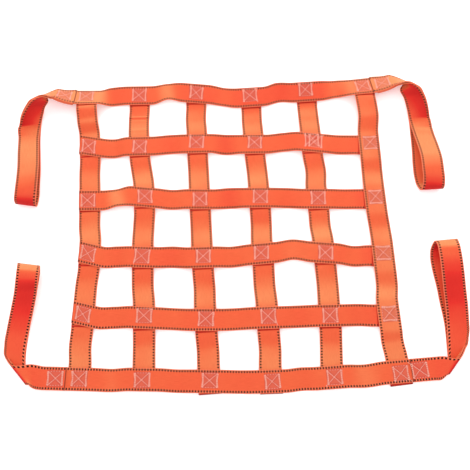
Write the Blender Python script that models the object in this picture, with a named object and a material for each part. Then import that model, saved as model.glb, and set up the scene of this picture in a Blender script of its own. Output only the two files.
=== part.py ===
"""Cargo lifting net of flat sewn webbing, laid out on a floor.

Six straps run away from the viewer (the columns) and six run across them (the rows). The first and
last rows are the borders. A strap loop, the lifting eye, is sewn to each end of both borders.
Every strap is one flat band swept along its own path. The straps are made face to face where they
cross, a hair apart, and sag to the floor in between.
"""

import math

import bmesh
import bpy
from mathutils import Matrix, Vector

MM = 0.001

# Driving dimensions: lifting webbing two inches wide, measured over its selvedges
STRAP_WIDTH = 53 * MM
STRAP_THICKNESS = 2.6 * MM
LAYER_GAP = 0.3 * MM
LAYER_STEP = STRAP_THICKNESS + LAYER_GAP
HALF_WIDTH = STRAP_WIDTH / 2

# Each crossing is sewn flat this far to both sides of its middle
FLAT_REACH = 32 * MM
# Longest stretch of strap between two sections
SECTION_STEP = 14 * MM

UP = Vector((0, 0, 1))
AWAY = Vector((0, 1, 0))
FAR_ROW, NEAR_ROW = 0, 5
LEFT_COLUMN, RIGHT_COLUMN = 0, 5

# Middles of the crossings, in mm: one line for each row from the far border to the near one,
# one value for each column from left to right
CROSSING_X_MM = (
    (-389, -252, -104, 40, 186, 337),
    (-373, -246, -98, 48, 195, 343),
    (-364, -228, -89, 60, 205, 349),
    (-355, -225, -80, 66, 216, 360),
    (-360, -216, -70, 76, 223, 363),
    (-361, -211, -60, 82, 223, 379),
)
CROSSING_Y_MM = (
    (368, 379, 384, 373, 388, 402),
    (234, 233, 240, 239, 243, 237),
    (87, 95, 90, 93, 91, 92),
    (-51, -59, -60, -50, -48, -56),
    (-198, -206, -211, -206, -201, -200),
    (-347, -348, -352, -352, -343, -330),
)
# Height of the lower strap's underside in the middle of each crossing
LIFT_MM = (
    (13, 4, 6.5, 6.5, 9, 11),
    (5, 6, 7, 6, 8, 6),
    (4, 7, 6, 8, 6, 5),
    (5, 7, 8, 6, 7, 5),
    (4, 6, 7, 7, 6, 5),
    (1, 3, 3, 3, 3, 1),
)
# Lean of the far border at its crossings: positive where its near edge stands higher
FAR_BORDER_LEAN_DEG = (22, -3, -8, -10, -14, 14)
# Turn of each row at its crossings off the line of its neighbours: positive where it rises to the
# right
ROW_TURN_DEG = (
    (0, -2, -3.5, 3, -2, 0),
    (-9, 0, 0, 0, -5, 0),
    (-3, -6, 0, 0, 0, 0),
    (-10, 0, 0, 3, -3, 0),
    (-10, 0, 0, 0, 0, 0),
    (0, 0, 0, 0, 0, 0),
)

# In the middle of each span, from left to right or from far to near: how far the strap bows from
# the straight line between the crossings (away from the viewer, or to the right), and its lean
ROW_BOW_MM = (
    (3, 10, -1, 8, 4),
    (-4, 4, -1, 6, 0),
    (3, -2, 2, 3, 1),
    (-2, 2, -2, 11, -3),
    (-3, 0, 0, 1, 2),
    (-2, -1, -1, 1, -3),
)
ROW_LEAN_DEG = (
    (-4, 11, -2, -14, 4),
    (0, -2, -12, 0, -3),
    (16, 0, -10, -3, 0),
    (-4, -6, 0, 4, 3),
    (0, 3, 0, -3, -4),
    (6, 0, 0, -4, 5),
)
COLUMN_BOW_MM = (
    (0, -1, -1, -1, -3),
    (-2, 0, 0, -2, 0),
    (-2, 0, 0, 1, 1),
    (-1, 1, 1, -1, 2),
    (0, 4, -1, 2, 1),
    (3, 1, 2, 3, -2),
)
# A span sags to this share of its crossings' height, but the first span of the two outer columns
# stands up in a hump beside the leaning corners
SAG_SHARE = 0.35
HUMP_MM = {LEFT_COLUMN: 18, RIGHT_COLUMN: 20}

# How far each column runs past the middle of the near border: some tails stick out
TAIL_MM = (22, 23, 29, 28, 24, 31)
HIDDEN_END = 19 * MM
FLUSH_END = HALF_WIDTH

# Each border runs on past its corner crossings to where its ends are sewn between the legs of the
# eyes: what it points at, its reach from the middle of the crossing, how far it twists on its way,
# and how far its end has moved off the straight line by then
BORDER_ENDS = {
    "far_left": {"toward_mm": (-466, 381), "reach_mm": 78, "twist_deg": 16, "moved_mm": (0, 5, 9)},
    "far_right": {"toward_mm": (412, 419), "reach_mm": 75, "twist_deg": 16, "moved_mm": (0, 3, 7)},
    "near_left": {"toward_mm": (-443, -342), "reach_mm": 82, "twist_deg": 0, "moved_mm": (0, 0, 0)},
    "near_right": {"toward_mm": (458, -323), "reach_mm": 79, "twist_deg": 0, "moved_mm": (0, 0, 0)},
}
END_STEPS = 4

# Lifting eyes. Each line is one section of the doubled strap past the border's end, in mm: the edge
# that is the far one on the border, then the edge that is the near one
FAR_LEFT_ROOT_MM = (
    (-488, 385, 9, -474, 355, 42),
    (-499, 374, 15, -495, 350, 58),
    (-491, 361, 18, -513, 339, 60),
    (-500, 346, 12, -529, 329, 47),
    (-506, 325, 7, -545, 310, 28),
    (-509, 298, 3, -556, 291, 7),
)
FAR_RIGHT_ROOT_MM = (
    (436, 424, 9, 426, 397, 38),
    (448, 414, 13, 445, 390, 56),
    (435, 392, 18, 464, 378, 58),
    (443, 371, 13, 482, 363, 44),
    (450, 343, 7, 496, 337, 24),
    (453, 315, 3, 504, 316, 6),
)
NEAR_LEFT_ROOT_MM = (
    (-469, -317, 8, -463, -365, 6),
)
NEAR_RIGHT_ROOT_MM = (
    (479, -301, 10, 474, -343, 7),
)
# Folds of the near eyes, where the doubled strap turns under itself. A line for each edge of the
# strap, in mm: where the turn starts, where it ends under the strap, its bend radius, its bulge
NEAR_LEFT_FOLD_MM = (
    ((-516, -314), (-536, -295), 6, 0),
    ((-475, -359), (-482, -351), 4, 2),
)
NEAR_RIGHT_FOLD_MM = (
    ((517, -297), (542, -266), 9, 0),
    ((489, -335), (493, -329), 4, 1),
)
FOLD_STEPS = 6
# Height of the middle of the doubled strap where it lies on the floor
DOUBLED_HEIGHT = 3.5 * MM

# The open part of each eye, in mm, from the lower layer around the end to the upper layer
FAR_LEFT_LOOP_MM = (
    (-504, 255, 1.3, -557, 255, 1.3),
    (-500, 213, 1.3, -553, 213, 1.3),
    (-496, 172, 1.3, -549, 172, 1.3),
    (-494, 128, 1.3, -547, 128, 1.3),
    (-493, 96, 4, -544, 96, 4),
    (-493, 70, 14, -545, 77, 14),
    (-493, 78, 26, -544, 80, 26),
    (-490, 111, 37, -541, 103, 37),
    (-489, 138, 38, -541, 130, 38),
    (-492, 175, 33, -543, 167, 33),
    (-500, 218, 22, -549, 212, 22),
    (-507, 262, 10, -555, 254, 10),
)
FAR_RIGHT_LOOP_MM = (
    (453, 269, 1.3, 506, 269, 1.3),
    (454, 227, 1.3, 506, 227, 1.3),
    (453, 185, 1.3, 505, 183, 1.3),
    (455, 150, 1.3, 507, 145, 1.3),
    (460, 128, 4, 512, 125, 4),
    (467, 114, 14, 515, 117, 14),
    (469, 122, 26, 515, 118, 26),
    (468, 139, 35, 516, 133, 35),
    (465, 162, 39, 516, 157, 39),
    (463, 198, 36, 517, 193, 36),
    (460, 236, 24, 515, 231, 24),
    (455, 275, 12, 511, 272, 12),
)
NEAR_LEFT_LOOP_MM = (
    (-541, -268, 1.3, -489, -297, 1.3),
    (-539, -228, 1.3, -486, -234, 1.3),
    (-534, -181, 1.3, -480, -181, 1.3),
    (-531, -143, 1.3, -477, -143, 1.3),
    (-528, -112, 2, -474, -116, 2),
    (-525, -89, 8, -471, -95, 8),
    (-522, -77, 23, -468, -84, 23),
    (-517, -90, 38, -464, -95, 38),
    (-517, -116, 40, -464, -119, 40),
    (-521, -148, 29, -468, -148, 29),
    (-529, -184, 17, -475, -184, 17),
    (-537, -228, 8, -484, -234, 8),
    (-541, -268, 5, -489, -297, 5),
)
NEAR_RIGHT_LOOP_MM = (
    (547, -240, 1.3, 496, -272, 1.3),
    (546, -215, 1.3, 496, -222, 1.3),
    (540, -169, 1.3, 490, -169, 1.3),
    (537, -131, 1.3, 485, -131, 1.3),
    (530, -89, 1.5, 479, -89, 1.5),
    (527, -55, 5, 475, -55, 5),
    (530, -28, 13, 478, -34, 13),
    (534, -18, 27, 483, -23, 27),
    (534, -31, 38, 485, -33, 38),
    (535, -57, 42, 487, -57, 42),
    (538, -97, 38, 490, -97, 38),
    (543, -138, 27, 493, -138, 27),
    (547, -177, 16, 498, -177, 16),
    (549, -212, 9, 499, -219, 9),
    (548, -240, 5, 498, -272, 5),
)
EYES = {
    "far_left": (FAR_LEFT_ROOT_MM, None, FAR_LEFT_LOOP_MM),
    "far_right": (FAR_RIGHT_ROOT_MM, None, FAR_RIGHT_LOOP_MM),
    "near_left": (NEAR_LEFT_ROOT_MM, NEAR_LEFT_FOLD_MM, NEAR_LEFT_LOOP_MM),
    "near_right": (NEAR_RIGHT_ROOT_MM, NEAR_RIGHT_FOLD_MM, NEAR_RIGHT_LOOP_MM),
}
# Where the upper leg of each eye ends on the border, from the middle of the corner's crossing
CUT_REACH_MM = {"far_left": 28, "far_right": 20, "near_left": 30, "near_right": 28}
# Sections of an eye's leg that are sewn to the border, and each leg's distance from the middle of
# the doubled strap past them
SEWN_SECTIONS = END_STEPS + 2
LEG_SPACING = LAYER_STEP / 2 + 0.6 * MM
# A slanting section of an eye is at most this many times as long as the strap is wide
ROOT_SLANT, LOOP_SLANT = 1.09, 1.3
# An edge leaves and reaches a section with a pull of at most this many times the way between them,
# so that it doesn't swing wide where the strap turns tightly
STEER_LIMIT = 1.1

WEBBING_COLOUR = (0.95, 0.10, 0.035, 1)
WEBBING_ROUGHNESS = 0.6


def clear_scene():
    for thing in list(bpy.data.objects):
        bpy.data.objects.remove(thing, do_unlink=True)


# Sections of a strap: each is the pair of its edge points at mid thickness

def section_at(middle, across):
    """Section of full width, from the far edge to the near one, or from right to left."""
    return middle - across * HALF_WIDTH, middle + across * HALF_WIDTH


def section_from_row(row):
    """Section between two edge points given in mm."""
    return Vector(row[:3]) * MM, Vector(row[3:]) * MM


def middle_of(section):
    return (section[0] + section[1]) / 2


def normals_of(sections):
    """Unit normal of the strap's face at each section."""
    normals = []
    for index, section in enumerate(sections):
        before = middle_of(sections[max(index - 1, 0)])
        after = middle_of(sections[min(index + 1, len(sections) - 1)])
        normals.append((section[1] - section[0]).cross(after - before).normalized())
    return normals


def offset_sections(sections, distances):
    """The same sections moved along the strap's normal."""
    moved = []
    for section, normal, distance in zip(sections, normals_of(sections), distances):
        moved.append((section[0] + normal * distance, section[1] + normal * distance))
    return moved


def full_width(sections, slant_limit):
    """The same sections, stretched about their middles to the strap's width square to its path."""
    stretched = []
    for index, (first, second) in enumerate(sections):
        before = middle_of(sections[max(index - 1, 0)])
        after = middle_of(sections[min(index + 1, len(sections) - 1)])
        along = (after - before).normalized()
        line = second - first
        width = max((line - along * line.dot(along)).length, line.length / slant_limit)
        stretched.append(section_at((first + second) / 2, line / width))
    return stretched


def hermite(start, start_slope, end, end_slope, share):
    square, cube = share * share, share ** 3
    return (start * (2 * cube - 3 * square + 1) + start_slope * (cube - 2 * square + share)
            + end * (3 * square - 2 * cube) + end_slope * (cube - square))


def smooth_sections(sections, first, last):
    """Smooth run of sections through those from first to last; the others only steer its ends."""
    knots = [0.0]
    for before, after in zip(sections, sections[1:]):
        knots.append(knots[-1] + (middle_of(after) - middle_of(before)).length)

    def slope(index, edge):
        low, high = max(index - 1, 0), min(index + 1, len(sections) - 1)
        here = sections[index][edge]
        if low == index or high == index:
            return (sections[high][edge] - sections[low][edge]) / (knots[high] - knots[low])
        arriving = (here - sections[low][edge]) / (knots[index] - knots[low])
        leaving = (sections[high][edge] - here) / (knots[high] - knots[index])
        weight = (knots[index] - knots[low]) / (knots[high] - knots[low])
        return arriving * (1 - weight) + leaving * weight

    run = [sections[first]]
    for index in range(first, last):
        length = knots[index + 1] - knots[index]
        reach = max((sections[index + 1][edge] - sections[index][edge]).length for edge in (0, 1))
        steps = max(1, math.ceil(reach / SECTION_STEP))
        for step in range(1, steps + 1):
            ends = []
            for edge in (0, 1):
                before, after = sections[index][edge], sections[index + 1][edge]
                steers = [slope(index + side, edge) * length for side in (0, 1)]
                longest = STEER_LIMIT * (after - before).length
                for steer in steers:
                    if steer.length > longest:
                        steer.length = longest
                place = hermite(before, steers[0], after, steers[1], step / steps)
                # The strap lies on the floor or on itself, so it doesn't dip between two sections
                place.z = max(place.z, min(before.z, after.z))
                ends.append(place)
            run.append(tuple(ends))
    return run


# Crossings

def column_is_on_top(row, column):
    """The last column lies over the inner rows; everywhere else the row lies over the column."""
    return column == RIGHT_COLUMN and FAR_ROW < row < NEAR_ROW


def crossing_lean(row, column):
    return math.radians(FAR_BORDER_LEAN_DEG[column]) if row == FAR_ROW else 0.0


def crossing_normal(row, column):
    lean = crossing_lean(row, column)
    return AWAY * math.sin(lean) + UP * math.cos(lean)


def crossing_middle(row, column, strap_is_row):
    """Mid thickness of one of the two straps in the middle of a crossing."""
    place = Vector((CROSSING_X_MM[row][column], CROSSING_Y_MM[row][column], LIFT_MM[row][column])) * MM
    place += UP * STRAP_THICKNESS / 2
    if strap_is_row != column_is_on_top(row, column):
        place += crossing_normal(row, column) * LAYER_STEP
    return place


def flat_directions(middles, normals, start_guide, end_guide):
    """Unit direction of the strap in the plane of each crossing, along the line of its neighbours."""
    guides = [start_guide or middles[0], *middles, end_guide or middles[-1]]
    directions = []
    for index, normal in enumerate(normals):
        chord = guides[index + 2] - guides[index]
        directions.append((chord - normal * chord.dot(normal)).normalized())
    return directions


def span_sections(start, end, crest, lean):
    """Sections between two flat crossings, over or under the crest in the middle of the span.

    start and end are a place, a direction and a direction across; both ends are left out.
    """
    along = (end[0] - start[0]).normalized()
    along = Vector((along.x, along.y, 0)).normalized()
    sideways = along.cross(UP)
    if abs(along.x) > abs(along.y):
        face = AWAY * math.sin(lean) + UP * math.cos(lean)
        sideways = along.cross(face).normalized()
    halves = ((start, (crest, along, sideways)), ((crest, along, sideways), end))
    sections = []
    for number, (first, second) in enumerate(halves):
        length = (second[0] - first[0]).length
        steps = math.ceil(length / SECTION_STEP)
        for step in range(1, steps + 1 - number):
            share = step / steps
            place = hermite(first[0], first[1] * length, second[0], second[1] * length, share)
            ease = share * share * (3 - 2 * share)
            across = first[2].lerp(second[2], ease).normalized()
            sections.append(section_at(place, across))
    return sections


def strap_sections(middles, normals, crests, leans, reaches, guides=(None, None), turns=(0,) * 6):
    """Sections of a whole strap, from its start to its end.

    Where the strap turns at a crossing, its weave shears: the sections stay square to the line of
    its neighbours.
    """
    start_reach, end_reach = reaches
    lines = flat_directions(middles, normals, *guides)
    directions = [Matrix.Rotation(math.radians(turn), 3, normal) @ line for line, normal, turn
                  in zip(lines, normals, turns)]
    sections = []
    for index, (middle, along, normal) in enumerate(zip(middles, directions, normals)):
        across = lines[index].cross(normal)
        before = start_reach if index == 0 else FLAT_REACH
        after = end_reach if index == len(middles) - 1 else FLAT_REACH
        for reach in (-before, 0, after):
            sections.append(section_at(middle + along * reach, across))
        if index < len(middles) - 1:
            next_normal = normals[index + 1]
            next_along = directions[index + 1]
            start = (middle + along * FLAT_REACH, along, across)
            end = (middles[index + 1] - next_along * FLAT_REACH, next_along,
                   lines[index + 1].cross(next_normal))
            sections += span_sections(start, end, crests[index], leans[index])
    return sections


def column_sections(column):
    middles = [crossing_middle(row, column, False) for row in range(6)]
    normals = [crossing_normal(row, column) for row in range(6)]
    crests = []
    for span in range(5):
        crest = (middles[span] + middles[span + 1]) / 2
        crest.x += COLUMN_BOW_MM[column][span] * MM
        height = SAG_SHARE * (LIFT_MM[span][column] + LIFT_MM[span + 1][column]) / 2
        if span == 0:
            height = HUMP_MM.get(column, height)
        crest.z = STRAP_THICKNESS / 2 + height * MM
        crests.append(crest)
    reaches = (HIDDEN_END, TAIL_MM[column] * MM)
    return strap_sections(middles, normals, crests, [0.0] * 5, reaches)


def row_sections(row):
    middles = [crossing_middle(row, column, True) for column in range(6)]
    normals = [crossing_normal(row, column) for column in range(6)]
    crests = []
    leans = []
    for span in range(5):
        crest = (middles[span] + middles[span + 1]) / 2
        crest.y += ROW_BOW_MM[row][span] * MM
        lean = math.radians(ROW_LEAN_DEG[row][span])
        height = SAG_SHARE * (LIFT_MM[row][span] + LIFT_MM[row][span + 1]) / 2 * MM
        crest.z = STRAP_THICKNESS / 2 + max(height, HALF_WIDTH * math.sin(abs(lean)))
        crests.append(crest)
        leans.append(lean)
    turns = ROW_TURN_DEG[row]
    if row not in (FAR_ROW, NEAR_ROW):
        return strap_sections(middles, normals, crests, leans, (FLUSH_END, HIDDEN_END), turns=turns)
    place = "far" if row == FAR_ROW else "near"
    guides = []
    for side, middle in (("left", middles[0]), ("right", middles[-1])):
        guides.append(Vector((*BORDER_ENDS[f"{place}_{side}"]["toward_mm"], 0)) * MM + UP * middle.z)
    return strap_sections(middles, normals, crests, leans, (FLAT_REACH, FLAT_REACH), guides, turns)


def end_sections(flat_end, crossing, corner):
    """A border's end past its flat crossing, which may twist on its way."""
    end = BORDER_ENDS[corner]
    along = (middle_of(flat_end) - middle_of(crossing)).normalized()
    across = (flat_end[1] - flat_end[0]).normalized()
    turn = math.radians(end["twist_deg"]) * (1 if across.cross(UP).dot(along) > 0 else -1)
    length = end["reach_mm"] * MM - FLAT_REACH
    moved = Vector(end["moved_mm"]) * MM
    sections = []
    for step in range(1, END_STEPS + 1):
        share = step / END_STEPS
        middle = middle_of(flat_end) + along * length * share + moved * share * share
        sections.append(section_at(middle, Matrix.Rotation(turn * share, 3, along) @ across))
    return sections


# Lifting eyes

def fold_sections(fold):
    """Sections of the doubled strap turning under itself about a cone that widens to one edge."""
    far, near = [Vector((*edge[0], 0)) * MM for edge in fold]
    outward = (far - near).normalized().cross(UP)
    if outward.x * far.x < 0:
        outward.negate()
    sections = []
    for step in range(FOLD_STEPS + 1):
        turn = math.pi * step / FOLD_STEPS
        ends = []
        for start, end, radius, bulge in fold:
            place = Vector((*start, 0)).lerp(Vector((*end, 0)), step / FOLD_STEPS)
            place += outward * bulge * math.sin(turn) + UP * radius * (1 + math.cos(turn))
            ends.append(place * MM + UP * DOUBLED_HEIGHT)
        sections.append(tuple(ends))
    return sections


def eye_sections(border, at_start, corner):
    """Sections of one lifting eye, from the end of its upper leg around to that of its lower leg.

    Both legs are sewn flat to the border's end, one over it and one under it.
    """
    crossing, flat_end = (border[1], border[0]) if at_start else (border[-2], border[-1])
    share = CUT_REACH_MM[corner] * MM / FLAT_REACH
    cut = tuple(crossing[edge].lerp(flat_end[edge], share) for edge in (0, 1))
    sewn = end_sections(flat_end, crossing, corner)
    root_rows, fold, loop_rows = EYES[corner]
    root = full_width(sewn[-1:] + [section_from_row(row) for row in root_rows], ROOT_SLANT)
    guides = sewn[-2:] + root[1:]
    if fold:
        guides += fold_sections(fold)
    doubled = [cut, flat_end] + sewn[:-1] + smooth_sections(guides, 1, len(guides) - 1)
    # The face turns over with the direction of travel, so the left eyes' legs swap sides
    side = -1 if at_start else 1
    spacings = [side * (LAYER_STEP if index < SEWN_SECTIONS else LEG_SPACING)
                for index in range(len(doubled))]
    upper_leg = offset_sections(doubled, spacings)
    lower_leg = offset_sections(doubled, [-spacing for spacing in spacings])[1:]
    lower_leg.reverse()
    open_part = full_width([section_from_row(row) for row in loop_rows], LOOP_SLANT)
    guides = upper_leg[-2:] + open_part + lower_leg[:2]
    loop = smooth_sections(guides, 1, len(guides) - 2)
    return upper_leg[:-1] + loop + lower_leg[1:]


# Solids

def fill_quad(shape, first, second, third, fourth):
    """Two triangles that share the higher diagonal, so that stacked straps bend alike."""
    if first.co.z + third.co.z >= second.co.z + fourth.co.z:
        shape.faces.new((first, second, third))
        shape.faces.new((first, third, fourth))
    else:
        shape.faces.new((second, third, fourth))
        shape.faces.new((second, fourth, first))


def build_strap(name, sections, material):
    """Closed flat band through the sections, as one object in the scene."""
    mesh = bpy.data.meshes.new(name)
    shape = bmesh.new()
    rings = []
    for section, normal in zip(sections, normals_of(sections)):
        half = normal * STRAP_THICKNESS / 2
        first, second = section
        corners = (first + half, second + half, second - half, first - half)
        rings.append([shape.verts.new(corner) for corner in corners])
    for ring, after in zip(rings, rings[1:]):
        for side in range(4):
            other = (side + 1) % 4
            fill_quad(shape, ring[side], ring[other], after[other], after[side])
    shape.faces.new(rings[0])
    shape.faces.new(rings[-1])
    bmesh.ops.recalc_face_normals(shape, faces=shape.faces)
    shape.to_mesh(mesh)
    shape.free()
    mesh.materials.append(material)
    strap = bpy.data.objects.new(name, mesh)
    bpy.context.scene.collection.objects.link(strap)
    return strap


def webbing_material(name):
    material = bpy.data.materials.new(name)
    material.use_nodes = True
    shader = material.node_tree.nodes["Principled BSDF"]
    shader.inputs["Base Color"].default_value = WEBBING_COLOUR
    shader.inputs["Roughness"].default_value = WEBBING_ROUGHNESS
    shader.inputs["Metallic"].default_value = 0.0
    return material


def centred(straps):
    """All sections moved so that the net's own box stands on the middle of the floor."""
    reach = []
    for sections in straps.values():
        half = STRAP_THICKNESS / 2
        for section, normal in zip(sections, normals_of(sections)):
            reach += [edge + normal * side for edge in section for side in (-half, half)]
    lows = [min(place[axis] for place in reach) for axis in range(3)]
    highs = [max(place[axis] for place in reach) for axis in range(3)]
    shift = Vector(((lows[0] + highs[0]) / 2, (lows[1] + highs[1]) / 2, lows[2]))
    return {name: [tuple(edge - shift for edge in section) for section in sections]
            for name, sections in straps.items()}


def net_straps():
    """Sections of every strap, by its name."""
    straps = {}
    for column in range(6):
        straps[f"column_{column + 1}"] = column_sections(column)
    for row in range(FAR_ROW + 1, NEAR_ROW):
        straps[f"row_{row + 1}"] = row_sections(row)
    borders = {"far": row_sections(FAR_ROW), "near": row_sections(NEAR_ROW)}
    for place, border in borders.items():
        left_end = end_sections(border[0], border[1], f"{place}_left")
        right_end = end_sections(border[-1], border[-2], f"{place}_right")
        straps[f"border_{place}"] = left_end[::-1] + border + right_end
        for side in ("left", "right"):
            corner = f"{place}_{side}"
            straps[f"eye_{corner}"] = eye_sections(border, side == "left", corner)
    return straps


def main():
    clear_scene()
    for name, sections in centred(net_straps()).items():
        build_strap(name, sections, webbing_material(f"webbing_{name}"))


main()
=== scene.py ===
# %% [markdown]
# A cargo lifting net is a grid of flat woven webbing. Six straps run away from us, six run across
# them, and each place where two of them meet is sewn flat with a box and a cross of thick thread. A
# loop of the same webbing, a lifting eye, is sewn to each end of both borders.
#
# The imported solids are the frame: they say where each strap lies. This scene dresses each of them
# with a finely woven band, and adds the thread.

# %% Load the frame
import math
from functools import partial
import random

import bpy
from mathutils import Matrix, Vector


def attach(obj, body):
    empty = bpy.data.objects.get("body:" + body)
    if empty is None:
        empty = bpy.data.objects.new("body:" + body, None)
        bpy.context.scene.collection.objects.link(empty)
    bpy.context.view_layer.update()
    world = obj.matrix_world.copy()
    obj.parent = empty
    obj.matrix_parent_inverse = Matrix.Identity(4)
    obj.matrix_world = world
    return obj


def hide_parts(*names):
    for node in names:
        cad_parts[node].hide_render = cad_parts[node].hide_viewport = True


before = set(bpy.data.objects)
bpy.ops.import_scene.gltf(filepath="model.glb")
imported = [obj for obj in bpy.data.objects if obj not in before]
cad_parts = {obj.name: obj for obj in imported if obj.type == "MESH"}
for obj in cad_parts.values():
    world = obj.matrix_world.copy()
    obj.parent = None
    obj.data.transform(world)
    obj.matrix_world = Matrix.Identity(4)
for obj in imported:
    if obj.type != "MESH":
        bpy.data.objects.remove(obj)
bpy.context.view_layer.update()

# %% [markdown]
# The straps' paths come first. They could be drawn by hand as curves, but webbing is stiff across its
# width and bends only along its length, so a path is kept as a row of sections: pairs of points, one
# on each edge of the strap. The numbers are those of the solids, so each band lies where its solid
# does.

# %% Sizes of the webbing and the directions
MM = 0.001
# Driving dimensions: lifting webbing two inches wide, measured over its selvedges
STRAP_WIDTH = 53 * MM
STRAP_THICKNESS = 2.6 * MM
LAYER_GAP = 0.3 * MM
LAYER_STEP = STRAP_THICKNESS + LAYER_GAP
HALF_WIDTH = STRAP_WIDTH / 2

# Each crossing is sewn flat this far to both sides of its middle
FLAT_REACH = 32 * MM
# Longest stretch of strap between two sections
SECTION_STEP = 14 * MM
UP = Vector((0, 0, 1))
AWAY = Vector((0, 1, 0))
FAR_ROW, NEAR_ROW = 0, 5
LEFT_COLUMN, RIGHT_COLUMN = 0, 5
# %% The grid as it lies: crossings, lifts, bows and leans
# Middles of the crossings, in mm: one line for each row from the far border to the near one,
# one value for each column from left to right
CROSSING_X_MM = (
    (-389, -252, -104, 40, 186, 337),
    (-373, -246, -98, 48, 195, 343),
    (-364, -228, -89, 60, 205, 349),
    (-355, -225, -80, 66, 216, 360),
    (-360, -216, -70, 76, 223, 363),
    (-361, -211, -60, 82, 223, 379),
)
CROSSING_Y_MM = (
    (368, 379, 384, 373, 388, 402),
    (234, 233, 240, 239, 243, 237),
    (87, 95, 90, 93, 91, 92),
    (-51, -59, -60, -50, -48, -56),
    (-198, -206, -211, -206, -201, -200),
    (-347, -348, -352, -352, -343, -330),
)
# Height of the lower strap's underside in the middle of each crossing
LIFT_MM = (
    (13, 4, 6.5, 6.5, 9, 11),
    (5, 6, 7, 6, 8, 6),
    (4, 7, 6, 8, 6, 5),
    (5, 7, 8, 6, 7, 5),
    (4, 6, 7, 7, 6, 5),
    (1, 3, 3, 3, 3, 1),
)
# Lean of the far border at its crossings: positive where its near edge stands higher
FAR_BORDER_LEAN_DEG = (22, -3, -8, -10, -14, 14)
# Turn of each row at its crossings off the line of its neighbours: positive where it rises to the
# right
ROW_TURN_DEG = (
    (0, -2, -3.5, 3, -2, 0),
    (-9, 0, 0, 0, -5, 0),
    (-3, -6, 0, 0, 0, 0),
    (-10, 0, 0, 3, -3, 0),
    (-10, 0, 0, 0, 0, 0),
    (0, 0, 0, 0, 0, 0),
)

# In the middle of each span, from left to right or from far to near: how far the strap bows from
# the straight line between the crossings (away from the viewer, or to the right), and its lean
ROW_BOW_MM = (
    (3, 10, -1, 8, 4),
    (-4, 4, -1, 6, 0),
    (3, -2, 2, 3, 1),
    (-2, 2, -2, 11, -3),
    (-3, 0, 0, 1, 2),
    (-2, -1, -1, 1, -3),
)
ROW_LEAN_DEG = (
    (-4, 11, -2, -14, 4),
    (0, -2, -12, 0, -3),
    (16, 0, -10, -3, 0),
    (-4, -6, 0, 4, 3),
    (0, 3, 0, -3, -4),
    (6, 0, 0, -4, 5),
)
COLUMN_BOW_MM = (
    (0, -1, -1, -1, -3),
    (-2, 0, 0, -2, 0),
    (-2, 0, 0, 1, 1),
    (-1, 1, 1, -1, 2),
    (0, 4, -1, 2, 1),
    (3, 1, 2, 3, -2),
)
# A span sags to this share of its crossings' height, but the first span of the two outer columns
# stands up in a hump beside the leaning corners
SAG_SHARE = 0.35
HUMP_MM = {LEFT_COLUMN: 18, RIGHT_COLUMN: 20}

# How far each column runs past the middle of the near border: some tails stick out
TAIL_MM = (22, 23, 29, 28, 24, 31)
HIDDEN_END = 19 * MM
FLUSH_END = HALF_WIDTH
# %% The borders' ends
# Each border runs on past its corner crossings to where its ends are sewn between the legs of the
# eyes. In mm and degrees: what it points at, its reach from the middle of the crossing, how far it
# twists on its way, and how far its end has moved off the straight line by then
BORDER_ENDS = {
    "far_left": ((-466, 381), 78, 16, (0, 5, 9)),
    "far_right": ((412, 419), 75, 16, (0, 3, 7)),
    "near_left": ((-443, -342), 82, 0, (0, 0, 0)),
    "near_right": ((458, -323), 79, 0, (0, 0, 0)),
}
END_STEPS = 4
# %% The lifting eyes
# Each line is one section of the doubled strap past the border's end, in mm: the edge that is the far
# one on the border, then the edge that is the near one
FAR_LEFT_ROOT_MM = (
    (-488, 385, 9, -474, 355, 42),
    (-499, 374, 15, -495, 350, 58),
    (-491, 361, 18, -513, 339, 60),
    (-500, 346, 12, -529, 329, 47),
    (-506, 325, 7, -545, 310, 28),
    (-509, 298, 3, -556, 291, 7),
)
FAR_RIGHT_ROOT_MM = (
    (436, 424, 9, 426, 397, 38),
    (448, 414, 13, 445, 390, 56),
    (435, 392, 18, 464, 378, 58),
    (443, 371, 13, 482, 363, 44),
    (450, 343, 7, 496, 337, 24),
    (453, 315, 3, 504, 316, 6),
)
NEAR_LEFT_ROOT_MM = (
    (-469, -317, 8, -463, -365, 6),
)
NEAR_RIGHT_ROOT_MM = (
    (479, -301, 10, 474, -343, 7),
)
# Folds of the near eyes, where the doubled strap turns under itself. A line for each edge of the
# strap, in mm: where the turn starts, where it ends under the strap, its bend radius, its bulge
NEAR_LEFT_FOLD_MM = (
    ((-516, -314), (-536, -295), 6, 0),
    ((-475, -359), (-482, -351), 4, 2),
)
NEAR_RIGHT_FOLD_MM = (
    ((517, -297), (542, -266), 9, 0),
    ((489, -335), (493, -329), 4, 1),
)
FOLD_STEPS = 6
# Height of the middle of the doubled strap where it lies on the floor
DOUBLED_HEIGHT = 3.5 * MM

# The open part of each eye, from the lower layer around the end to the upper layer. Each line has both
# edges' places, then the height that they share, in mm
FAR_LEFT_LOOP_MM = (
    (-504, 255, -557, 255, 1.3),
    (-500, 213, -553, 213, 1.3),
    (-496, 172, -549, 172, 1.3),
    (-494, 128, -547, 128, 1.3),
    (-493, 96, -544, 96, 4),
    (-493, 70, -545, 77, 14),
    (-493, 78, -544, 80, 26),
    (-490, 111, -541, 103, 37),
    (-489, 138, -541, 130, 38),
    (-492, 175, -543, 167, 33),
    (-500, 218, -549, 212, 22),
    (-507, 262, -555, 254, 10),
)
FAR_RIGHT_LOOP_MM = (
    (453, 269, 506, 269, 1.3),
    (454, 227, 506, 227, 1.3),
    (453, 185, 505, 183, 1.3),
    (455, 150, 507, 145, 1.3),
    (460, 128, 512, 125, 4),
    (467, 114, 515, 117, 14),
    (469, 122, 515, 118, 26),
    (468, 139, 516, 133, 35),
    (465, 162, 516, 157, 39),
    (463, 198, 517, 193, 36),
    (460, 236, 515, 231, 24),
    (455, 275, 511, 272, 12),
)
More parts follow.
